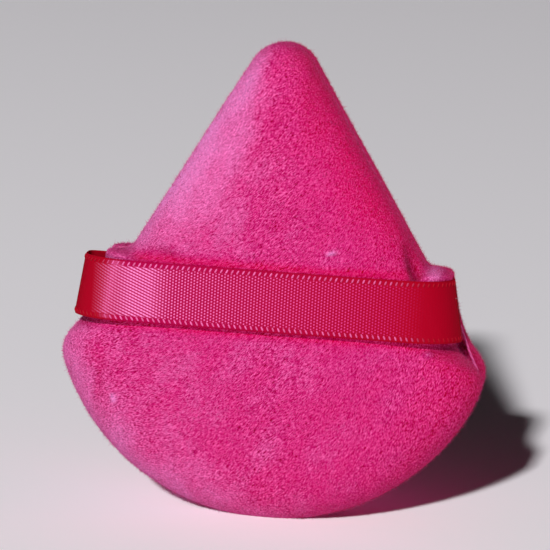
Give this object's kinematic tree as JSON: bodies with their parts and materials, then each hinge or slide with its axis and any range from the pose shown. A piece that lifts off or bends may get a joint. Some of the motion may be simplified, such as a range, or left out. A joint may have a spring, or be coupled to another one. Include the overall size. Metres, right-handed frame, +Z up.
{
  "type": "powder puff",
  "caption": "Plump triangular velour powder puff with a pointed tip and a round lower edge, and a satin finger ribbon sewn into its side seams.",
  "frame": {"origin": "middle of the bounding box at its bottom, on the surface that the puff stands on", "axes": "+Z up from the round edge to the pointed tip, -Y out of the ribbon side, +X to the right seen from the ribbon side"},
  "size_m": [0.0716, 0.0202, 0.08],
  "materials": {
    "velour": "short dense pile",
    "satin": "satin weave",
    "sponge": "open-cell sponge",
    "thread": "twisted thread"
  },
  "bodies": {
    "puff": {"back_cover": "velour", "face_cover": "velour", "sponge_core": "sponge", "seam_thread": "thread", "closing_stitch": "thread", "ribbon_tack_left": "thread", "ribbon_tack_right": "thread"},
    "ribbon": {"ribbon": "satin"}
  },
  "joints": [
    {"name": "ribbon_lift", "type": "slide", "parent": "puff", "child": "ribbon", "axis": [0, -1, 0], "range_m": [0, 0.008], "deforming": ["ribbon"]}
  ]
}
